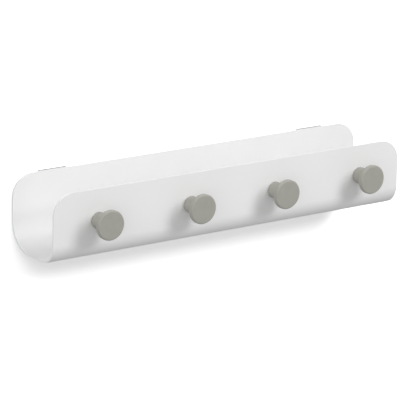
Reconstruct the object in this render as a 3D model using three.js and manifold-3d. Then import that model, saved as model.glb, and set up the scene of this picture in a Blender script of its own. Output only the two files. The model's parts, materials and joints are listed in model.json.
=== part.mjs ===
// Wall-hung coat rail with a letter tray: one bent white sheet of U section, four mushroom
// knobs screwed to its front wall, two hanger clips on its back that hook over two wall brackets.
//
// Millimetres. X runs along the rail, +Y runs into the wall, +Z is up.
// The wall is the plane Y = 0, and Z = 0 is the underside of the tray.

import * as THREE from 'three';
import { mergeVertices } from 'three/addons/utils/BufferGeometryUtils.js';
import Module from 'manifold-3d';

const wasm = await Module();
wasm.setup();

// ---------------------------------------------------------------- driving dimensions

const GAP = 0.3;                 // clearance left between pieces that touch
const STANDOFF = 11;             // wall to the tray's rear face

const TRAY_LENGTH = 450;
const TRAY_DEPTH = 80;           // outside, front to back
const REAR_HEIGHT = 78.5;
const FRONT_HEIGHT = 76;
const SHEET = 2;
const REAR_BEND = 32;            // outside radius of the long rear bend
const FRONT_BEND = 22;           // outside radius of the tighter front bend
const CORNER = 24;               // radius of the upper corners of both walls

const KNOB_X = [-170.5, -55, 55, 170.5];
const KNOB_Z = 42.5;
const KNOB_REACH = 24.5;         // front wall to the knob's face
const DISC_RADIUS = 16;
const DISC_THICKNESS = 5;
const DISC_FRONT_EDGE = 1.8;
const DISC_BACK_EDGE = 0.7;
const STEM_RADIUS = 9;
const STEM_FILLET = 1.3;
const STEM_CHAMFER = 0.4;

const INSERT_RADIUS = 3.5;
const INSERT_LENGTH = 9;
const INSERT_BORE = 2.25;
const INSERT_TEETH = 18;
const INSERT_KNURL = 0.35;       // depth of the knurling
const POCKET_SPARE = 1.2;        // pocket left open past the insert
const SCREW_RADIUS = 1.95;       // M4
const SCREW_LENGTH = 12;
const SCREW_HEAD_RADIUS = 4;
const SCREW_HEAD_HEIGHT = 2.6;
const SCREW_CHAMFER = 0.5;
const WASHER_RADIUS = 4.6;
const WASHER_BORE = 2.2;
const WASHER_THICKNESS = 0.8;
const PANEL_HOLE = 2.3;

const HANGER_X = 169.5;          // centre of each hanger, left and right
const HANGER_WIDTH = 35;
const CLIP_SHEET = 1.5;
const CLIP_BOTTOM = 46;
const CLIP_TOP = 74;
const CLIP_TONGUE_BOTTOM = 61.8;
const CLIP_WALL_GAP = 1.5;       // between the clip's tongue and the wall
const CLIP_BEND = 1;
const BRACKET_SHEET = 1.2;
const BRACKET_BOTTOM = 22;
const BRACKET_TOP = 76.5;
const BRACKET_TOP_CORNER = 1;
const WINDOW_WIDTH = 25;         // opening that the bracket's tongue is bent out of
const WINDOW_BOTTOM = 56;
const WINDOW_TOP = 73.5;
const TONGUE_WIDTH = 24;
const TONGUE_STEP = 57;          // height where the tongue leaves the wall
const TONGUE_BEND = 2;
const HOOK_PLAY = 0.25;          // between the clip's tongue and the bracket's
const PLATE_CORNER = 4;

const WALL_SCREW_Z = [49, 29];
const WALL_SCREW_RADIUS = 1.75;
const WALL_SCREW_CORE = 1.2;
const WALL_SCREW_LENGTH = 25;
const WALL_SCREW_SHANK = 3;      // plain length under the head
const WALL_SCREW_POINT = 4;      // length of the tapered point
const WALL_SCREW_PITCH = 2;
const WALL_SCREW_HEAD_RADIUS = 3.5;
const WALL_SCREW_HEAD_HEIGHT = 2.2;
const BRACKET_HOLE = 2.1;

// Shares of a screw head's diameter and height.
const HEAD_CROWN = [[0.55, 1], [0.85, 0.85], [1, 0.5]];
const RECESS_SPAN = 0.53;
const RECESS_SLOT = 0.12;
const RECESS_DEPTH = 0.58;

const BUMPER_X = 200;
const BUMPER_Z = 44;
const BUMPER_RADIUS = 5;
const BUMPER_EDGE = 1;

const KNOB_SEGMENTS = 40;        // sides of the round pieces
const HARDWARE_SEGMENTS = 24;
const WALL_SCREW_SEGMENTS = 16;
const TRAY_BEND_STEPS = 22;      // flats along a quarter turn
const PLATE_BEND_STEPS = 6;
const CORNER_STEPS = 14;
const EDGE_STEPS = 4;
const OVERCUT = 1;               // how far a cutter runs past the faces it cuts

// ---------------------------------------------------------------- colours and finishes

const WHITE_COAT = { color: 0xf1f1ef, roughness: 0.45, metalness: 0 };
const WARM_GREY = { color: 0x9d9d95, roughness: 0.6, metalness: 0 };
const BRASS = { color: 0xb58e44, roughness: 0.35, metalness: 1 };
const ZINC = { color: 0xb9bcc0, roughness: 0.35, metalness: 1 };
const RUBBER = { color: 0x2b2b2c, roughness: 0.85, metalness: 0 };

// ---------------------------------------------------------------- geometry helpers

// Axes that a drawn outline (x, y) and its extrusion (z) are turned onto.
const ALONG_X = new THREE.Matrix4().makeBasis(
  new THREE.Vector3(0, 1, 0), new THREE.Vector3(0, 0, 1), new THREE.Vector3(1, 0, 0));
const ALONG_MINUS_Y = new THREE.Matrix4().makeBasis(
  new THREE.Vector3(1, 0, 0), new THREE.Vector3(0, 0, 1), new THREE.Vector3(0, -1, 0));

// Welds a geometry's corners, drops its empty triangles and turns it to face outward.
function weld(source) {
  const bare = source.index ? source.toNonIndexed() : source.clone();
  bare.deleteAttribute('normal');
  bare.deleteAttribute('uv');
  const merged = mergeVertices(bare, 1e-4);
  const position = merged.attributes.position;
  const index = merged.index.array;
  const corners = [new THREE.Vector3(), new THREE.Vector3(), new THREE.Vector3()];
  const kept = [];
  let volume = 0;
  for (let i = 0; i < index.length; i += 3) {
    const [a, b, c] = [index[i], index[i + 1], index[i + 2]];
    if (a === b || b === c || c === a) {
      continue;
    }
    corners.forEach((corner, k) => corner.fromBufferAttribute(position, index[i + k]));
    volume += corners[0].dot(corners[1].clone().cross(corners[2]));
    kept.push(a, b, c);
  }
  if (volume < 0) {
    for (let i = 0; i < kept.length; i += 3) {
      [kept[i + 1], kept[i + 2]] = [kept[i + 2], kept[i + 1]];
    }
  }
  merged.setIndex(kept);
  return merged;
}

function toManifold(geometry) {
  const clean = weld(geometry);
  return new wasm.Manifold(new wasm.Mesh({
    numProp: 3,
    vertProperties: new Float32Array(clean.attributes.position.array),
    triVerts: new Uint32Array(clean.index.array),
  }));
}

function toGeometry(manifold) {
  const mesh = manifold.getMesh();
  const geometry = new THREE.BufferGeometry();
  geometry.setAttribute('position', new THREE.BufferAttribute(mesh.vertProperties, 3));
  geometry.setIndex(new THREE.BufferAttribute(mesh.triVerts, 1));
  return geometry;
}

function join(a, b) {
  return toGeometry(toManifold(a).add(toManifold(b)));
}

function cut(geometry, cutters) {
  let body = toManifold(geometry);
  for (const cutter of cutters) {
    body = body.subtract(toManifold(cutter));
  }
  return toGeometry(body);
}

function extrude(outline, depth, axes) {
  const geometry = new THREE.ExtrudeGeometry(outline, { depth, bevelEnabled: false });
  return geometry.applyMatrix4(axes);
}

// Solid of revolution about local Y from a list of [radius, height].
function turn(profile, segments) {
  const points = profile.map(([radius, height]) => new THREE.Vector2(radius, height));
  return weld(new THREE.LatheGeometry(points, segments));
}

// Points of a quarter arc about (cx, cy), from angle a0 to a1 in degrees.
function arc(cx, cy, radius, a0, a1, steps) {
  const points = [];
  for (let i = 0; i <= steps; i += 1) {
    const angle = THREE.MathUtils.degToRad(a0 + ((a1 - a0) * i) / steps);
    points.push([cx + radius * Math.cos(angle), cy + radius * Math.sin(angle)]);
  }
  return points;
}

// Outline of a bent sheet: the middle line through `path`, rounded at each inner point to the
// radius in `bends`, and thickened by half a sheet to both sides.
function bentSheet(path, bends, thickness, steps) {
  const points = path.map(([x, y]) => new THREE.Vector2(x, y));
  const left = [];
  const right = [];
  const add = (point, normal) => {
    left.push(point.clone().addScaledVector(normal, thickness / 2));
    right.push(point.clone().addScaledVector(normal, -thickness / 2));
  };
  const normalOf = (along) => new THREE.Vector2(-along.y, along.x);
  const last = points.length - 1;
  add(points[0], normalOf(points[1].clone().sub(points[0]).normalize()));
  for (let i = 1; i < last; i += 1) {
    const before = points[i].clone().sub(points[i - 1]).normalize();
    const after = points[i + 1].clone().sub(points[i]).normalize();
    const turnAngle = Math.atan2(before.cross(after), before.dot(after));
    const side = Math.sign(turnAngle);
    const setback = bends[i - 1] * Math.tan(Math.abs(turnAngle) / 2);
    const start = points[i].clone().addScaledVector(before, -setback);
    const centre = start.clone().addScaledVector(normalOf(before), side * bends[i - 1]);
    for (let k = 0; k <= steps; k += 1) {
      const normal = normalOf(before).rotateAround(new THREE.Vector2(), (turnAngle * k) / steps);
      add(centre.clone().addScaledVector(normal, -side * bends[i - 1]), normal);
    }
  }
  add(points[last], normalOf(points[last].clone().sub(points[last - 1]).normalize()));
  return new THREE.Shape([...left, ...right.reverse()]);
}

// Cutter that rounds one corner of a plate standing in the XZ plane.
// (x, z) is the corner, sx and sz point out of the plate, and y is the plate's middle.
function cornerCutter(x, z, sx, sz, radius, y, thickness) {
  const cx = x - sx * radius;
  const cz = z - sz * radius;
  const pastX = x + sx * OVERCUT;
  const pastZ = z + sz * OVERCUT;
  const outline = arc(0, 0, radius, 0, 90, CORNER_STEPS)
    .map(([u, v]) => new THREE.Vector2(cx + sx * u, cz + sz * v));
  outline.push(new THREE.Vector2(cx, pastZ));
  outline.push(new THREE.Vector2(pastX, pastZ));
  outline.push(new THREE.Vector2(pastX, cz));
  const reach = thickness / 2 + OVERCUT;
  const cutter = extrude(new THREE.Shape(outline), reach * 2, ALONG_MINUS_Y);
  return cutter.translate(0, y + reach, 0);
}

// Cutter for a round hole along Y at (x, z), through a plate whose middle is at y.
function holeCutter(x, z, radius, y, thickness) {
  const length = thickness + OVERCUT * 2;
  const cylinder = new THREE.CylinderGeometry(radius, radius, length, HARDWARE_SEGMENTS);
  return cylinder.translate(x, y, z);
}

// Outline of a domed screw head, from its crown at local Y = -height to its rim at Y = 0.
function screwHead(radius, height) {
  const crown = HEAD_CROWN.map(([across, up]) => [radius * across, -height * up]);
  return [[0, -height], ...crown, [radius, 0]];
}

// Cross recess sunk into the crown of such a head.
function crossRecess(radius, height) {
  const s = radius * RECESS_SLOT;
  const r = radius * RECESS_SPAN;
  const quarter = [[r, -s], [r, s], [s, s]];
  const outline = [];
  for (let turns = 0; turns < 4; turns += 1) {
    const angle = (turns * Math.PI) / 2;
    for (const [x, y] of quarter) {
      outline.push(new THREE.Vector2(x, y).rotateAround(new THREE.Vector2(), angle));
    }
  }
  const depth = height * RECESS_DEPTH;
  const cutter = extrude(new THREE.Shape(outline), depth + OVERCUT, ALONG_MINUS_Y);
  return cutter.translate(0, depth - height, 0);
}

// ---------------------------------------------------------------- pieces

function trayGeometry() {
  const half = SHEET / 2;
  const frontFace = -TRAY_DEPTH;
  const profile = bentSheet(
    [
      [-half, REAR_HEIGHT],
      [-half, half],
      [frontFace + half, half],
      [frontFace + half, FRONT_HEIGHT],
    ],
    [REAR_BEND - half, FRONT_BEND - half], SHEET, TRAY_BEND_STEPS);
  const body = extrude(profile, TRAY_LENGTH, ALONG_X).translate(-TRAY_LENGTH / 2, 0, 0);
  const cutters = [];
  for (const side of [-1, 1]) {
    const end = (side * TRAY_LENGTH) / 2;
    cutters.push(cornerCutter(end, REAR_HEIGHT, side, 1, CORNER, -half, SHEET));
    cutters.push(cornerCutter(end, FRONT_HEIGHT, side, 1, CORNER, frontFace + half, SHEET));
  }
  for (const x of KNOB_X) {
    cutters.push(holeCutter(x, KNOB_Z, PANEL_HOLE, frontFace + half, SHEET));
  }
  return cut(body, cutters);
}

// The knob and its hardware stand on local Y, which is 0 at the front wall's outer face and
// grows away from the rail.
function knobGeometry() {
  const discBack = KNOB_REACH - DISC_THICKNESS;
  const pocket = GAP + INSERT_LENGTH + POCKET_SPARE;
  const pocketRadius = INSERT_RADIUS + GAP;
  const stemFillet = arc(STEM_RADIUS + STEM_FILLET, discBack - STEM_FILLET,
    STEM_FILLET, 180, 90, EDGE_STEPS);
  const backEdge = arc(DISC_RADIUS - DISC_BACK_EDGE, discBack + DISC_BACK_EDGE,
    DISC_BACK_EDGE, -90, 0, EDGE_STEPS);
  const frontEdge = arc(DISC_RADIUS - DISC_FRONT_EDGE, KNOB_REACH - DISC_FRONT_EDGE,
    DISC_FRONT_EDGE, 0, 90, EDGE_STEPS);
  return turn([
    [0, pocket],
    [pocketRadius, pocket],
    [pocketRadius, GAP],
    [STEM_RADIUS - STEM_CHAMFER, GAP],
    [STEM_RADIUS, GAP + STEM_CHAMFER],
    ...stemFillet,
    ...backEdge,
    ...frontEdge,
    [0, KNOB_REACH],
  ], KNOB_SEGMENTS);
}

function insertGeometry() {
  const outline = [];
  for (let i = 0; i < INSERT_TEETH * 2; i += 1) {
    const angle = (Math.PI * i) / INSERT_TEETH;
    const radius = i % 2 ? INSERT_RADIUS - INSERT_KNURL : INSERT_RADIUS;
    outline.push(new THREE.Vector2(radius * Math.cos(angle), radius * Math.sin(angle)));
  }
  const knurl = extrude(new THREE.Shape(outline), INSERT_LENGTH, ALONG_MINUS_Y);
  knurl.translate(0, INSERT_LENGTH, 0);
  return cut(knurl, [holeCutter(0, 0, INSERT_BORE, INSERT_LENGTH / 2, INSERT_LENGTH)]);
}

// Machine screw: the head's underside is local Y = 0 and the shank runs up.
function knobScrewGeometry() {
  const body = turn([
    ...screwHead(SCREW_HEAD_RADIUS, SCREW_HEAD_HEIGHT),
    [SCREW_RADIUS, 0],
    [SCREW_RADIUS, SCREW_LENGTH - SCREW_CHAMFER],
    [SCREW_RADIUS - SCREW_CHAMFER, SCREW_LENGTH],
    [0, SCREW_LENGTH],
  ], HARDWARE_SEGMENTS);
  return cut(body, [crossRecess(SCREW_HEAD_RADIUS, SCREW_HEAD_HEIGHT)]);
}

function washerGeometry() {
  return turn([
    [WASHER_BORE, 0],
    [WASHER_RADIUS, 0],
    [WASHER_RADIUS, WASHER_THICKNESS],
    [WASHER_BORE, WASHER_THICKNESS],
    [WASHER_BORE, 0],
  ], HARDWARE_SEGMENTS);
}

// Hanger clip: a leg on the tray's rear face, a flat top, and a tongue that hangs behind it.
function clipGeometry() {
  const half = CLIP_SHEET / 2;
  const leg = -STANDOFF + GAP + half;
  const tongue = -CLIP_WALL_GAP - half;
  const profile = bentSheet(
    [
      [leg, CLIP_BOTTOM],
      [leg, CLIP_TOP - half],
      [tongue, CLIP_TOP - half],
      [tongue, CLIP_TONGUE_BOTTOM],
    ],
    [CLIP_BEND, CLIP_BEND], CLIP_SHEET, PLATE_BEND_STEPS);
  const body = extrude(profile, HANGER_WIDTH, ALONG_X).translate(-HANGER_WIDTH / 2, 0, 0);
  const cutters = [];
  for (const side of [-1, 1]) {
    const end = (side * HANGER_WIDTH) / 2;
    cutters.push(cornerCutter(end, CLIP_BOTTOM, side, -1, PLATE_CORNER, leg, CLIP_SHEET));
    cutters.push(
      cornerCutter(end, CLIP_TONGUE_BOTTOM, side, -1, PLATE_CORNER / 2, tongue, CLIP_SHEET));
  }
  return cut(body, cutters);
}

// Flat bar against the wall, from one height to another.
function wallBar(width, bottom, top, thickness) {
  const bar = new THREE.BoxGeometry(width, thickness, top - bottom);
  return bar.translate(0, -thickness / 2, (top + bottom) / 2);
}

// Wall bracket: a plate screwed to the wall, with a tongue bent forward out of a window in it.
// The clip's tongue hangs between the two.
function bracketGeometry() {
  const half = BRACKET_SHEET / 2;
  const front = -CLIP_WALL_GAP - CLIP_SHEET - HOOK_PLAY - half;
  const profile = bentSheet(
    [
      [-half, WINDOW_BOTTOM - BRACKET_SHEET],
      [-half, TONGUE_STEP],
      [front, TONGUE_STEP - half - front],
      [front, CLIP_TOP - CLIP_SHEET - GAP],
    ],
    [TONGUE_BEND, TONGUE_BEND], BRACKET_SHEET, PLATE_BEND_STEPS);
  const tongue = extrude(profile, TONGUE_WIDTH, ALONG_X).translate(-TONGUE_WIDTH / 2, 0, 0);
  const window = wallBar(WINDOW_WIDTH, WINDOW_BOTTOM, WINDOW_TOP, BRACKET_SHEET * 2);
  window.translate(0, half, 0);
  const cutters = [window];
  for (const side of [-1, 1]) {
    const end = (side * HANGER_WIDTH) / 2;
    cutters.push(cornerCutter(end, BRACKET_BOTTOM, side, -1, PLATE_CORNER, -half, BRACKET_SHEET));
    cutters.push(
      cornerCutter(end, BRACKET_TOP, side, 1, BRACKET_TOP_CORNER, -half, BRACKET_SHEET));
  }
  for (const z of WALL_SCREW_Z) {
    cutters.push(holeCutter(0, z, BRACKET_HOLE, -half, BRACKET_SHEET));
  }
  const plate = cut(wallBar(HANGER_WIDTH, BRACKET_BOTTOM, BRACKET_TOP, BRACKET_SHEET), cutters);
  return join(plate, tongue);
}

// Wood screw: the head's underside is local Y = 0 and the threaded shank runs up to a point.
function wallScrewGeometry() {
  const profile = [
    ...screwHead(WALL_SCREW_HEAD_RADIUS, WALL_SCREW_HEAD_HEIGHT),
    [WALL_SCREW_RADIUS, 0],
    [WALL_SCREW_RADIUS, WALL_SCREW_SHANK],
  ];
  const threadEnd = WALL_SCREW_LENGTH - WALL_SCREW_POINT;
  for (let y = WALL_SCREW_SHANK; y < threadEnd; y += WALL_SCREW_PITCH) {
    profile.push([WALL_SCREW_CORE, y + WALL_SCREW_PITCH / 2]);
    profile.push([WALL_SCREW_RADIUS, y + WALL_SCREW_PITCH]);
  }
  profile.push([0, WALL_SCREW_LENGTH]);
  const recess = crossRecess(WALL_SCREW_HEAD_RADIUS, WALL_SCREW_HEAD_HEIGHT);
  return cut(turn(profile, WALL_SCREW_SEGMENTS), [recess]);
}

// Stick-on bumper: it reaches from the tray's rear face (less the gap) to the wall.
function bumperGeometry() {
  const height = STANDOFF - GAP;
  const edge = arc(BUMPER_RADIUS - BUMPER_EDGE, height - BUMPER_EDGE,
    BUMPER_EDGE, 0, 90, EDGE_STEPS);
  return turn([
    [0, 0],
    [BUMPER_RADIUS, 0],
    ...edge,
    [0, height],
  ], HARDWARE_SEGMENTS);
}

// ---------------------------------------------------------------- assembly

function piece(name, geometry, finish) {
  const mesh = new THREE.Mesh(geometry, new THREE.MeshStandardMaterial(finish));
  mesh.name = name;
  return mesh;
}

const rail = new THREE.Group();
rail.name = 'coat_rail';

const hungTray = new THREE.Group();
const wallSide = new THREE.Group();
rail.add(hungTray, wallSide);

const tray = piece('tray', trayGeometry(), WHITE_COAT);
tray.position.y = -STANDOFF;
hungTray.add(tray);

// Local +Y of everything on the knobs' axes points away from the wall.
KNOB_X.forEach((x, i) => {
  const station = new THREE.Group();
  station.position.set(x, -STANDOFF - TRAY_DEPTH, KNOB_Z);
  station.rotation.x = Math.PI;
  const knob = piece(`knob_${i + 1}`, knobGeometry(), WARM_GREY);
  const insert = piece(`knob_insert_${i + 1}`, insertGeometry(), BRASS);
  insert.position.y = GAP * 2;
  const washer = piece(`knob_washer_${i + 1}`, washerGeometry(), ZINC);
  washer.position.y = -SHEET - GAP - WASHER_THICKNESS;
  const screw = piece(`knob_screw_${i + 1}`, knobScrewGeometry(), ZINC);
  screw.position.y = washer.position.y - GAP;
  station.add(knob, insert, washer, screw);
  hungTray.add(station);
});

for (const [side, x] of [['left', -1], ['right', 1]]) {
  const clip = piece(`hanger_clip_${side}`, clipGeometry(), WHITE_COAT);
  clip.position.x = x * HANGER_X;
  hungTray.add(clip);

  const bumper = piece(`bumper_${side}`, bumperGeometry(), RUBBER);
  bumper.position.set(x * BUMPER_X, -STANDOFF + GAP, BUMPER_Z);
  hungTray.add(bumper);

  const bracket = piece(`wall_bracket_${side}`, bracketGeometry(), ZINC);
  bracket.position.x = x * HANGER_X;
  wallSide.add(bracket);

  ['upper', 'lower'].forEach((level, i) => {
    const screw = piece(`wall_screw_${side}_${level}`, wallScrewGeometry(), ZINC);
    screw.position.set(x * HANGER_X, -BRACKET_SHEET - GAP, WALL_SCREW_Z[i]);
    wallSide.add(screw);
  });
}

export default rail;
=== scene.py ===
import json
import math

import bmesh
import bpy
from mathutils import Matrix, Vector


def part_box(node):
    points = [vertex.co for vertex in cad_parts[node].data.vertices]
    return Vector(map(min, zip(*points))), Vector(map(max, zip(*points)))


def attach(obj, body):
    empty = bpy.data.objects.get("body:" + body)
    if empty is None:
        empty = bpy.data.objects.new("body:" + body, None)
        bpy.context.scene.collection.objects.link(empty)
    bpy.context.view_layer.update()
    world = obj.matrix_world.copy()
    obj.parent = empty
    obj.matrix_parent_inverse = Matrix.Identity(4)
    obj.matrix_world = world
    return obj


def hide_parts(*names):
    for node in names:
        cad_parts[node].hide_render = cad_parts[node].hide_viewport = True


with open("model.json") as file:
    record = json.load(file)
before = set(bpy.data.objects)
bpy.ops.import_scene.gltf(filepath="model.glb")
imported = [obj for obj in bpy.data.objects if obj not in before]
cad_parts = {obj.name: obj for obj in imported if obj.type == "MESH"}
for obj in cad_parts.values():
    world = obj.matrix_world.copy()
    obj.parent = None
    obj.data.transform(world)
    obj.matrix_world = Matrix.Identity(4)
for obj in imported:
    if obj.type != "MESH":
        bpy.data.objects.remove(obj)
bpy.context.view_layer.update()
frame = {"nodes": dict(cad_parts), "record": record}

# A wall-hung coat rail: a bent sheet tray with four mushroom knobs, hung on two wall brackets.
# The sheet pieces keep their CAD shape and get rounded edges. The turned pieces are made again
# here, with soft edges, threads, knurls and cross recesses, each to the size of its CAD node.
# +X runs along the rail, +Y into the wall and +Z up. Lengths are in metres, angles in degrees.

KNOB_COUNT = 4
SIDES = ("left", "right")
LEVELS = ("upper", "lower")

TINY = 0.000002                  # points that are closer than this count as one

# ---------------------------------------------------------------- sizes: sheet pieces

TRAY_EDGE = 0.00035              # rounding that the coat leaves on the tray's edges
PLATE_EDGE = 0.0002              # rounding on the clips and brackets
SHEET_FLAT_ANGLE = 0.3           # facets that meet at less than this become one face
SHEET_EDGE_ANGLE = 40            # edges sharper than this are rounded
SHEET_EDGE_STEPS = 3

# ---------------------------------------------------------------- sizes: turned pieces

ARC_STEPS = 6                    # straight steps in each rounded corner
SMOOTH_ANGLE = 50                # edges flatter than this are shaded smooth

DISC_THICKNESS = 0.005
DISC_FRONT_EDGE = 0.0018         # "edge" is a rounding radius
DISC_BACK_EDGE = 0.0007
STEM_RADIUS = 0.009
STEM_FILLET = 0.0013             # between the stem and the disc
STEM_EDGE = 0.0004
POCKET_GAP = 0.0003              # round the insert
POCKET_SPARE = 0.0012            # past the insert's inner end
POCKET_EDGE = 0.0002
KNOB_ARC_STEPS = 8
KNOB_SEGMENTS = 96

KNURL_TEETH = 18
KNURL_DEPTH = 0.00035
KNURL_STEPS = 6                  # points round each tooth
KNURL_SMOOTH_ANGLE = 35
INSERT_BORE = 0.00225            # radius
INSERT_CHAMFER = 0.0004
INSERT_GROOVE = 0.0008           # half the groove between the two knurled bands

WASHER_BORE = 0.0022             # radius
WASHER_EDGE = 0.25               # share of the thickness
WASHER_ARC_STEPS = 4
WASHER_SEGMENTS = 64

BUMPER_TRAY_EDGE = 0.00025
BUMPER_WALL_EDGE = 0.001
BUMPER_SEGMENTS = 64

# Screws. "depth" of thread and "tip" are shares of the radius, "head" and "point" are lengths,
# "plain" is the length without thread, "rows" are steps in each turn of the thread, and "crest"
# makes its ridge sharper.
MACHINE_SCREW = {
    "radius": 0.00195, "head": 0.0026, "plain": 0.0004, "pitch": 0.0007,
    "depth": 0.19, "crest": 1, "point": 0.0005, "tip": 0.75, "rows": 6,
}
WOOD_SCREW = {
    "radius": 0.00175, "head": 0.0022, "plain": 0.003, "pitch": 0.002,
    "depth": 0.34, "crest": 3, "point": 0.004, "tip": 0.06, "rows": 12,
}
SCREW_SEGMENTS = 40
SCREW_SMOOTH_ANGLE = 40

# Screw heads, as shares of the head's radius.
CROWN_RADIUS = 0.62
CROWN_EDGE = 0.5
RECESS_REACH = 0.53
RECESS_WIDTH = 0.12              # half the width of each arm of the cross

# Screw heads, as shares of the head's height.
RIM_START = 0.5
RIM_EDGE = 0.3
UNDERSIDE_EDGE = 0.08
RECESS_DEPTH = 0.58

# The cross is wider above the head than at its own floor.
RECESS_FLARE = 1.12
RECESS_TAPER = 0.6

# ---------------------------------------------------------------- colours

COAT_WHITE = (0.862, 0.862, 0.862)
KNOB_GREY = (0.36, 0.357, 0.32)
BRASS = (0.72, 0.53, 0.24)
ZINC = (0.80, 0.81, 0.825)
RUBBER_BLACK = (0.03, 0.03, 0.031)
COATING_IOR = 1.5

# The range that nearly all of a noise texture stays in.
NOISE_LOW = 0.3
NOISE_HIGH = 0.7

# ---------------------------------------------------------------- camera, lights and stage

# Round from square on (to the right), above, and rolled.
CAMERA_AZIMUTH = -35.91
CAMERA_ELEVATION = 15.94
CAMERA_ROLL = 1.42
CAMERA_DISTANCE = 2.96
CAMERA_LENS = 249.5              # millimetres
CAMERA_SENSOR = 36               # millimetres
CAMERA_NEAREST = 0.05
CAMERA_FARTHEST = 20
CAMERA_AIM = Vector((-0.0137, 0.03975, 0.031))   # Y is counted forward from the tray's back

# Softboxes: round from square on, above, width, height and watts.
LIGHT_DISTANCE = 3.3
LIGHTS = {
    "key": (30, 36, 1.4, 1.9, 57),
    "left": (-80, 30, 1.35, 1.35, 27),
    "low_left": (-45, 8, 2.1, 1.35, 12),
    "back": (172, 48, 1.35, 1.35, 28),
}
# The wall has softboxes of its own, so that it stays white and the rail's shadow stays short.
WALL_LIGHTS = {
    "wall_right": (24, 34, 1.35, 1.35, 62),
    "wall_left": (-38, 30, 1.35, 1.35, 31),
}
WHITE = (1, 1, 1, 1)
WORLD_ABOVE = 0.5                # strength of the light from straight above
WORLD_BELOW = 0.42
WALL_PAINT = 1.6                 # past white, so that only the darkest shadows show on the wall
FLOOR_PAINT = 0.85
STAGE_REACH = 1.6                # to each side
STAGE_FRONT = -3.2
STAGE_TOP = 1.3
STAGE_BOTTOM = -1.4

# ---------------------------------------------------------------- materials


class Finish:
    """A material with one Principled shader, and the nodes that vary it over the surface."""

    def __init__(self, name, rgb):
        self.rgb = rgb
        self.material = bpy.data.materials.new(name)
        self.material.use_nodes = True
        self.material.diffuse_color = self.shade(1)
        self.nodes = self.material.node_tree.nodes
        self.links = self.material.node_tree.links
        self.shader = self.nodes["Principled BSDF"]
        self.set("Base Color", self.shade(1))

    def shade(self, share):
        """The material's own colour, made that much brighter or darker."""
        return (*(channel * share for channel in self.rgb), 1)

    def set(self, socket, value):
        """One value for the whole surface."""
        self.shader.inputs[socket].default_value = value

    def vary(self, socket, output):
        """A value that differs from place to place."""
        self.links.new(output, self.shader.inputs[socket])

    def noise(self, scale, detail):
        """Noise in the piece's own coordinates, with that many cycles per metre."""
        place = self.nodes.new("ShaderNodeTexCoord")
        texture = self.nodes.new("ShaderNodeTexNoise")
        texture.inputs["Scale"].default_value = scale
        texture.inputs["Detail"].default_value = detail
        self.links.new(place.outputs["Object"], texture.inputs["Vector"])
        return texture.outputs["Fac"]

    def spread(self, noise, low, high):
        """The noise, made to run from low to high."""
        node = self.nodes.new("ShaderNodeMapRange")
        node.inputs["From Min"].default_value = NOISE_LOW
        node.inputs["From Max"].default_value = NOISE_HIGH
        node.inputs["To Min"].default_value = low
        node.inputs["To Max"].default_value = high
        self.links.new(noise, node.inputs["Value"])
        return node.outputs["Result"]

    def tint(self, noise, darkest, lightest):
        """The material's own colour, from darkest to lightest times its brightness."""
        ramp = self.nodes.new("ShaderNodeValToRGB")
        first, last = ramp.color_ramp.elements
        first.position = NOISE_LOW
        first.color = self.shade(darkest)
        last.position = NOISE_HIGH
        last.color = self.shade(lightest)
        self.links.new(noise, ramp.inputs["Fac"])
        return ramp.outputs["Color"]

    def bump(self, noise, height, strength=0.5, under=None):
        """Bumps of that height, laid over earlier ones if there are any."""
        node = self.nodes.new("ShaderNodeBump")
        node.inputs["Distance"].default_value = height
        node.inputs["Strength"].default_value = strength
        self.links.new(noise, node.inputs["Height"])
        if under is not None:
            self.links.new(under, node.inputs["Normal"])
        return node.outputs["Normal"]


def powder_coat():
    """Satin white powder coat: a faint orange peel, a fine grain and slight cloudiness."""
    finish = Finish("white_powder_coat", COAT_WHITE)
    cloud = finish.noise(scale=14, detail=2)
    grain = finish.noise(scale=2600, detail=3)
    peel = finish.noise(scale=620, detail=2)
    finish.vary("Base Color", finish.tint(cloud, darkest=0.985, lightest=1.01))
    finish.vary("Roughness", finish.spread(grain, low=0.4, high=0.5))
    peel_bumps = finish.bump(peel, height=0.00003)
    finish.vary("Normal", finish.bump(grain, height=0.00001, under=peel_bumps))
    finish.set("IOR", COATING_IOR)
    return finish.material


def knob_lacquer():
    """Warm grey and matte: a fine even texture with a soft highlight."""
    finish = Finish("warm_grey_matte", KNOB_GREY)
    cloud = finish.noise(scale=120, detail=3)
    grain = finish.noise(scale=3400, detail=2)
    finish.vary("Base Color", finish.tint(cloud, darkest=0.97, lightest=1.03))
    finish.vary("Roughness", finish.spread(grain, low=0.5, high=0.62))
    finish.vary("Normal", finish.bump(grain, height=0.00004))
    finish.set("IOR", COATING_IOR)
    return finish.material


def metal(name, rgb, smoothest, roughest):
    """Plated or turned metal: a fine grain and slight staining."""
    finish = Finish(name, rgb)
    stain = finish.noise(scale=420, detail=3)
    grain = finish.noise(scale=5200, detail=4)
    finish.vary("Base Color", finish.tint(stain, darkest=0.9, lightest=1))
    finish.vary("Roughness", finish.spread(grain, low=smoothest, high=roughest))
    finish.vary("Normal", finish.bump(grain, height=0.00001))
    finish.set("Metallic", 1)
    return finish.material


def rubber():
    """Black rubber with a little pale dust in its rough surface."""
    finish = Finish("black_rubber", RUBBER_BLACK)
    dust = finish.noise(scale=900, detail=4)
    finish.vary("Base Color", finish.tint(dust, darkest=1, lightest=1.7))
    finish.vary("Roughness", finish.spread(dust, low=0.75, high=0.9))
    finish.vary("Normal", finish.bump(dust, height=0.00006, strength=0.6))
    return finish.material


MATERIALS = {
    "white_coat": powder_coat(),
    "warm_grey": knob_lacquer(),
    "brass": metal("turned_brass", BRASS, smoothest=0.22, roughest=0.36),
    "zinc": metal("zinc_plate", ZINC, smoothest=0.26, roughest=0.44),
    "rubber": rubber(),
}
SLOT_OF = {part["node"]: part["material_slot"] for part in frame["record"]["subparts"]}

# ---------------------------------------------------------------- object helpers


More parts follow.
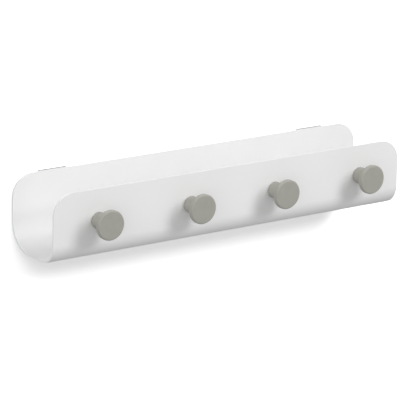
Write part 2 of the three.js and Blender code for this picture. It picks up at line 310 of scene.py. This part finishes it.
def add_object(name, data):
    """A new object in the scene that holds the mesh, light or camera."""
    obj = bpy.data.objects.new(name, data)
    bpy.context.scene.collection.objects.link(obj)
    return obj


def middle(node):
    """The middle of a CAD node's box."""
    low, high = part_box(node)
    return (low + high) / 2


def ends(node):
    """Where a CAD node that is round about Y starts and ends along Y, and its outer radius."""
    low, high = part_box(node)
    return low.y, high.y, (high.x - low.x) / 2


# ---------------------------------------------------------------- sheet pieces


def paint(obj, slot):
    """Gives the whole object one material."""
    obj.data.materials.clear()
    obj.data.materials.append(MATERIALS[slot])
    for polygon in obj.data.polygons:
        polygon.material_index = 0


def finish_sheet(node, edge):
    """The CAD node, shaded smooth round its bends, with its edges rounded."""
    obj = frame["nodes"][node]
    normals = obj.data.attributes.get("custom_normal")
    if normals is not None:
        obj.data.attributes.remove(normals)
    obj.data.shade_smooth()
    weld = obj.modifiers.new("weld", "WELD")
    weld.merge_threshold = TINY
    flat = obj.modifiers.new("join_flats", "DECIMATE")
    flat.decimate_type = "DISSOLVE"
    flat.angle_limit = math.radians(SHEET_FLAT_ANGLE)
    edges = obj.modifiers.new("edges", "BEVEL")
    edges.width = edge
    edges.segments = SHEET_EDGE_STEPS
    edges.limit_method = "ANGLE"
    edges.angle_limit = math.radians(SHEET_EDGE_ANGLE)
    edges.harden_normals = True
    paint(obj, SLOT_OF[node])


finish_sheet("tray", TRAY_EDGE)
for side in SIDES:
    finish_sheet(f"hanger_clip_{side}", PLATE_EDGE)
    finish_sheet(f"wall_bracket_{side}", PLATE_EDGE)

# ---------------------------------------------------------------- mesh helpers


def outline(corners, steps=ARC_STEPS):
    """Points through (radius, height, rounding) corners, with an arc where rounding isn't 0."""
    points = []
    for i, (radius, height, rounding) in enumerate(corners):
        here = Vector((radius, height))
        if rounding == 0:
            points.append(here)
            continue
        before = (Vector(corners[i - 1][:2]) - here).normalized()
        after = (Vector(corners[(i + 1) % len(corners)][:2]) - here).normalized()
        half = before.angle(after) / 2
        centre = here + (before + after).normalized() * rounding / math.sin(half)
        start = here + before * rounding / math.tan(half) - centre
        sweep = math.pi - 2 * half
        if before.x * after.y - before.y * after.x > 0:
            sweep = -sweep
        for k in range(steps + 1):
            points.append(centre + Matrix.Rotation(sweep * k / steps, 2) @ start)
    return points


def bridge(build, low, high):
    """Faces between two rings. A ring that is one point repeated gives triangles."""
    for k in range(len(low)):
        after = (k + 1) % len(low)
        corners = dict.fromkeys((low[k], low[after], high[after], high[k]))
        build.faces.new(list(corners))


def as_mesh(name, build):
    """The bmesh as a mesh, with its faces pointing out."""
    bmesh.ops.recalc_face_normals(build, faces=build.faces)
    mesh = bpy.data.meshes.new(name)
    build.to_mesh(mesh)
    build.free()
    return mesh


def turned(node, points, segments, closed=False, radius_at=None):
    """A solid of revolution about the line along Y through the node's middle.

    The points are (radius, height), with heights along Y. A closed outline joins its last point
    to its first. radius_at(radius, height, angle) may change each radius as it is made."""
    centre = middle(node)
    build = bmesh.new()
    rings = []
    for radius, height in points:
        if radius < TINY:
            rings.append([build.verts.new((centre.x, height, centre.z))] * segments)
            continue
        ring = []
        for k in range(segments):
            angle = math.tau * k / segments
            reach = radius_at(radius, height, angle) if radius_at else radius
            x = centre.x + reach * math.cos(angle)
            z = centre.z + reach * math.sin(angle)
            ring.append(build.verts.new((x, height, z)))
        rings.append(ring)
    for low, high in zip(rings, rings[1:]):
        bridge(build, low, high)
    if closed:
        bridge(build, rings[-1], rings[0])
    return as_mesh(node, build)


def stand_for(node, body, mesh, smooth_angle=SMOOTH_ANGLE):
    """Puts the mesh in place of the CAD node: same body, same slot, weighted normals."""
    obj = add_object(f"{node}_fine", mesh)
    mesh.shade_smooth()
    mesh.set_sharp_from_angle(angle=math.radians(smooth_angle))
    weighted = obj.modifiers.new("flat_faces", "WEIGHTED_NORMAL")
    weighted.keep_sharp = True
    mesh.materials.append(MATERIALS[SLOT_OF[node]])
    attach(obj, body)
    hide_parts(node)


# ---------------------------------------------------------------- knobs, inserts, washers, bumpers


def knob(node, insert_node):
    """A mushroom knob: a soft-edged disc on a stem that has a pocket for its insert."""
    front, back, radius = ends(node)
    insert_front, _, insert_radius = ends(insert_node)
    disc_back = front + DISC_THICKNESS
    pocket_radius = insert_radius + POCKET_GAP
    pocket_end = insert_front - POCKET_SPARE
    corners = [
        (0, front, 0),
        (radius, front, DISC_FRONT_EDGE),
        (radius, disc_back, DISC_BACK_EDGE),
        (STEM_RADIUS, disc_back, STEM_FILLET),
        (STEM_RADIUS, back, STEM_EDGE),
        (pocket_radius, back, POCKET_EDGE),
        (pocket_radius, pocket_end, 0),
        (0, pocket_end, 0),
    ]
    mesh = turned(node, outline(corners, KNOB_ARC_STEPS), KNOB_SEGMENTS)
    stand_for(node, "hung_tray", mesh)


def insert(node):
    """A knob's threaded insert, with a plain bore: two knurled bands and a groove between."""
    front, back, radius = ends(node)
    groove = middle(node).y
    root = radius - KNURL_DEPTH

    def knurl(reach, height, angle):
        """Cuts the teeth, on the bands only."""
        if reach < radius - KNURL_DEPTH / 2:
            return reach
        return reach - KNURL_DEPTH * abs(math.sin(angle * KNURL_TEETH / 2))

    corners = [
        (INSERT_BORE, front, 0),
        (root, front, 0),
        (radius, front + INSERT_CHAMFER, 0),
        (radius, groove - INSERT_GROOVE, 0),
        (root, groove - INSERT_GROOVE / 2, 0),
        (root, groove + INSERT_GROOVE / 2, 0),
        (radius, groove + INSERT_GROOVE, 0),
        (radius, back - INSERT_CHAMFER, 0),
        (root, back, 0),
        (INSERT_BORE, back, 0),
    ]
    segments = KNURL_TEETH * KNURL_STEPS
    mesh = turned(node, outline(corners), segments, closed=True, radius_at=knurl)
    stand_for(node, "hung_tray", mesh, KNURL_SMOOTH_ANGLE)


def washer(node):
    """A plain washer with rounded edges."""
    front, back, radius = ends(node)
    edge = (back - front) * WASHER_EDGE
    corners = [
        (WASHER_BORE, front, edge),
        (radius, front, edge),
        (radius, back, edge),
        (WASHER_BORE, back, edge),
    ]
    mesh = turned(node, outline(corners, WASHER_ARC_STEPS), WASHER_SEGMENTS, closed=True)
    stand_for(node, "hung_tray", mesh)


def bumper(node):
    """A round rubber bumper, softer at the end that meets the wall."""
    front, back, radius = ends(node)
    corners = [
        (0, front, 0),
        (radius, front, BUMPER_TRAY_EDGE),
        (radius, back, BUMPER_WALL_EDGE),
        (0, back, 0),
    ]
    stand_for(node, "hung_tray", turned(node, outline(corners), BUMPER_SEGMENTS))


# ---------------------------------------------------------------- screws


def head(radius, crown, underside):
    """Corners of a domed head, from its crown to its underside."""
    rise = underside - crown
    return [
        (0, crown, 0),
        (radius * CROWN_RADIUS, crown, radius * CROWN_EDGE),
        (radius, crown + rise * RIM_START, abs(rise) * RIM_EDGE),
        (radius, underside, abs(rise) * UNDERSIDE_EDGE),
    ]


def shank(kind, start, end, length, narrowing):
    """Points from just past start to end, where the radius has become narrowing times as large."""
    rows = math.ceil(length / kind["pitch"] * kind["rows"])
    points = []
    for k in range(1, rows + 1):
        share = k / rows
        taper = 1 + (narrowing - 1) * share
        points.append(Vector((kind["radius"] * taper, start + (end - start) * share)))
    return points


def thread(kind, start, end):
    """A radius_at for turned(): one helical thread between two heights, faded at both ends."""
    pitch = kind["pitch"]

    def radius_at(radius, height, angle):
        if not start < height < end:
            return radius
        turns = height / pitch - angle / math.tau
        ridge = abs(2 * (turns % 1) - 1) ** kind["crest"]
        fade = min(1, (height - start) / pitch, (end - height) / pitch)
        return radius * (1 - kind["depth"] * fade * (1 - ridge))

    return radius_at


def cross_cutter(radius, crown, depth):
    """A tapered cross about the Y axis, from as far above the crown as it goes below it."""
    build = bmesh.new()
    rings = []
    for height, scale in ((crown - depth, RECESS_FLARE), (crown + depth, RECESS_TAPER)):
        reach = radius * RECESS_REACH * scale
        width = radius * RECESS_WIDTH * scale
        ring = []
        for quarter in range(4):
            spin = Matrix.Rotation(quarter * math.pi / 2, 2)
            for corner in ((reach, -width), (reach, width), (width, width)):
                x, z = spin @ Vector(corner)
                ring.append(build.verts.new((x, height, z)))
        rings.append(ring)
    above, floor = rings
    build.faces.new(above)
    build.faces.new(floor)
    bridge(build, above, floor)
    return as_mesh("cross_cutter", build)


def sink_cross(mesh, centre, radius, crown, depth):
    """A new mesh with a cross recess cut into its head."""
    body = add_object("uncut", mesh)
    tool = add_object("cutter", cross_cutter(radius, crown, depth))
    tool.location = (centre.x, 0, centre.z)
    cut = body.modifiers.new("cross", "BOOLEAN")
    cut.operation = "DIFFERENCE"
    cut.solver = "EXACT"
    cut.object = tool
    bpy.context.view_layer.update()
    graph = bpy.context.evaluated_depsgraph_get()
    result = bpy.data.meshes.new_from_object(body.evaluated_get(graph))
    bpy.data.objects.remove(body)
    bpy.data.objects.remove(tool)
    return result


def screw(node, body, kind, way):
    """A threaded screw whose shank runs along +Y (way 1) or -Y (way -1) from its head."""
    front, back, head_radius = ends(node)
    crown, end = (front, back) if way > 0 else (back, front)
    underside = crown + way * kind["head"]
    point_start = end - way * kind["point"]
    points = outline(head(head_radius, crown, underside) + [(kind["radius"], underside, 0)])
    points += shank(kind, underside, point_start, abs(point_start - underside), 1)
    points += shank(kind, point_start, end, kind["point"], kind["tip"])
    points.append(Vector((0, end)))
    thread_start = underside + way * kind["plain"]
    spiral = thread(kind, min(thread_start, end), max(thread_start, end))
    mesh = turned(node, points, SCREW_SEGMENTS, radius_at=spiral)
    mesh = sink_cross(mesh, middle(node), head_radius, crown, way * kind["head"] * RECESS_DEPTH)
    stand_for(node, body, mesh, SCREW_SMOOTH_ANGLE)


# ---------------------------------------------------------------- all the turned pieces

for number in range(1, KNOB_COUNT + 1):
    knob(f"knob_{number}", f"knob_insert_{number}")
    insert(f"knob_insert_{number}")
    washer(f"knob_washer_{number}")
    screw(f"knob_screw_{number}", "hung_tray", MACHINE_SCREW, -1)
for side in SIDES:
    bumper(f"bumper_{side}")
    for level in LEVELS:
        screw(f"wall_screw_{side}_{level}", "wall_side", WOOD_SCREW, 1)

# ---------------------------------------------------------------- stage


def mix_shaders(nodes, links, factor, first, second, out):
    """Sends the first shader to the output where factor is 0, and the second where it is 1."""
    mix = nodes.new("ShaderNodeMixShader")
    links.new(factor, mix.inputs["Fac"])
    links.new(first, mix.inputs[1])
    links.new(second, mix.inputs[2])
    links.new(mix.outputs["Shader"], out.inputs["Surface"])


def one_sided(name, brightness):
    """Matt paint that shows on its face only, so that it hides nothing from behind."""
    material = bpy.data.materials.new(name)
    material.use_nodes = True
    nodes = material.node_tree.nodes
    links = material.node_tree.links
    nodes.clear()
    out = nodes.new("ShaderNodeOutputMaterial")
    face = nodes.new("ShaderNodeBsdfDiffuse")
    face.inputs["Color"].default_value = (brightness, brightness, brightness, 1)
    clear = nodes.new("ShaderNodeBsdfTransparent")
    side_seen = nodes.new("ShaderNodeNewGeometry").outputs["Backfacing"]
    mix_shaders(nodes, links, side_seen, face.outputs["BSDF"], clear.outputs["BSDF"], out)
    return material


def slab(name, corners, material):
    """A flat stage surface that neither throws light or shade on the rail nor mirrors in it."""
    mesh = bpy.data.meshes.new(name)
    mesh.from_pydata(corners, [], [(0, 1, 2, 3)])
    obj = add_object(name, mesh)
    mesh.materials.append(material)
    obj.visible_diffuse = False
    obj.visible_glossy = False
    obj.visible_shadow = False
    return obj


def make_stage():
    """A white wall at Y = 0, and a pale floor far below. Gives back the wall."""
    left, right = -STAGE_REACH, STAGE_REACH
    front, bottom, top = STAGE_FRONT, STAGE_BOTTOM, STAGE_TOP
    wall_corners = [(left, 0, bottom), (right, 0, bottom), (right, 0, top), (left, 0, top)]
    floor_corners = [
        (left, front, bottom), (right, front, bottom), (right, 0, bottom), (left, 0, bottom),
    ]
    wall = slab("wall", wall_corners, one_sided("wall_paint", WALL_PAINT))
    slab("floor", floor_corners, one_sided("floor_paint", FLOOR_PAINT))
    return wall


def receivers(name, wall, state):
    """A light-linking group for lights that light only the wall (INCLUDE) or all else (EXCLUDE)."""
    group = bpy.data.collections.new(name)
    group.objects.link(wall)
    group.collection_objects[0].light_linking.link_state = state
    return group


def direction(azimuth, elevation):
    """The unit vector that points that far round from square on, and above."""
    a = math.radians(azimuth)
    e = math.radians(elevation)
    return Vector((math.sin(a) * math.cos(e), -math.cos(a) * math.cos(e), math.sin(e)))


def softbox(name, settings, aim, receiver):
    """A rectangular softbox that faces aim and lights only its receiver group."""
    azimuth, elevation, width, height, power = settings
    out = direction(azimuth, elevation)
    light = bpy.data.lights.new(name, "AREA")
    light.shape = "RECTANGLE"
    light.size = width
    light.size_y = height
    light.energy = power
    obj = add_object(name, light)
    obj.location = aim + out * LIGHT_DISTANCE
    obj.rotation_mode = "QUATERNION"
    obj.rotation_quaternion = out.to_track_quat("Z", "Y")
    obj.visible_camera = False
    obj.light_linking.receiver_collection = receiver


def make_world():
    """White to the camera, and a dimmer light on the object, weaker from below than from above."""
    world = bpy.data.worlds.new("studio")
    bpy.context.scene.world = world
    world.use_nodes = True
    nodes = world.node_tree.nodes
    links = world.node_tree.links
    nodes.clear()
    out = nodes.new("ShaderNodeOutputWorld")
    seen = nodes.new("ShaderNodeBackground")
    seen.inputs["Color"].default_value = WHITE
    light = nodes.new("ShaderNodeBackground")
    light.inputs["Color"].default_value = WHITE
    place = nodes.new("ShaderNodeTexCoord")
    axes = nodes.new("ShaderNodeSeparateXYZ")
    links.new(place.outputs["Generated"], axes.inputs["Vector"])
    height = nodes.new("ShaderNodeMapRange")
    height.inputs["From Min"].default_value = -1
    height.inputs["From Max"].default_value = 1
    height.inputs["To Min"].default_value = WORLD_BELOW
    height.inputs["To Max"].default_value = WORLD_ABOVE
    links.new(axes.outputs["Z"], height.inputs["Value"])
    links.new(height.outputs["Result"], light.inputs["Strength"])
    to_camera = nodes.new("ShaderNodeLightPath").outputs["Is Camera Ray"]
    dim = light.outputs["Background"]
    white = seen.outputs["Background"]
    mix_shaders(nodes, links, to_camera, dim, white, out)


def make_camera():
    """The scene's camera. Gives back the point that it looks at."""
    tray_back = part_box("tray")[1].y
    aim = Vector((CAMERA_AIM.x, tray_back - CAMERA_AIM.y, CAMERA_AIM.z))
    back = direction(CAMERA_AZIMUTH, CAMERA_ELEVATION)
    level = direction(CAMERA_AZIMUTH + 90, 0)
    upright = back.cross(level)
    roll = math.radians(CAMERA_ROLL)
    right = level * math.cos(roll) + upright * math.sin(roll)
    up = upright * math.cos(roll) - level * math.sin(roll)
    camera = bpy.data.cameras.new("camera")
    camera.lens = CAMERA_LENS
    camera.sensor_width = CAMERA_SENSOR
    camera.clip_start = CAMERA_NEAREST
    camera.clip_end = CAMERA_FARTHEST
    obj = add_object("camera", camera)
    turn = Matrix((right, up, back)).transposed().to_4x4()
    obj.matrix_world = Matrix.Translation(aim + back * CAMERA_DISTANCE) @ turn
    bpy.context.scene.camera = obj
    return aim


wall = make_stage()
aim = make_camera()
wall_alone = receivers("wall_alone", wall, "INCLUDE")
all_but_wall = receivers("all_but_wall", wall, "EXCLUDE")
for name, settings in LIGHTS.items():
    softbox(name, settings, aim, all_but_wall)
for name, settings in WALL_LIGHTS.items():
    softbox(name, settings, aim, wall_alone)
make_world()
bpy.context.scene.view_settings.view_transform = "Standard"
